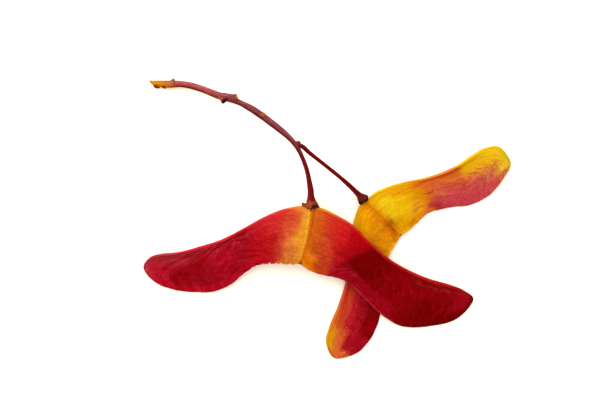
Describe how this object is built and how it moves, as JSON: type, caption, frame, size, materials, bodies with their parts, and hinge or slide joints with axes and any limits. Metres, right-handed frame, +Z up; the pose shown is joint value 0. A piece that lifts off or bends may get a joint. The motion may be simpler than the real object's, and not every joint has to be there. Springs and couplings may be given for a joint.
{
  "type": "maple samara sprig",
  "caption": "Dried maple samaras: pairs of flat nutlets with veined papery wings, joined along their seams and carried on one forked stalk with flared cups, lying flat.",
  "frame": {"origin": "on the surface that the sprig lies on, under the middle of its box", "axes": "+X from the stalk's cut end towards the yellow wing, +Y towards the stalk and away from the front pair, +Z up from the surface"},
  "size_m": [0.0876, 0.0668, 0.0067],
  "materials": {
    "stalk_bark": "satin bark",
    "crimson_skin": "dry satin skin",
    "maroon_skin": "dry satin skin",
    "yellow_skin": "dry satin skin",
    "orange_skin": "dry satin skin"
  },
  "bodies": {
    "root": {"stalk": "stalk_bark", "front_left_samara": "crimson_skin", "front_right_samara": "maroon_skin", "back_right_samara": "yellow_skin", "back_left_samara": "orange_skin"}
  },
  "joints": []
}
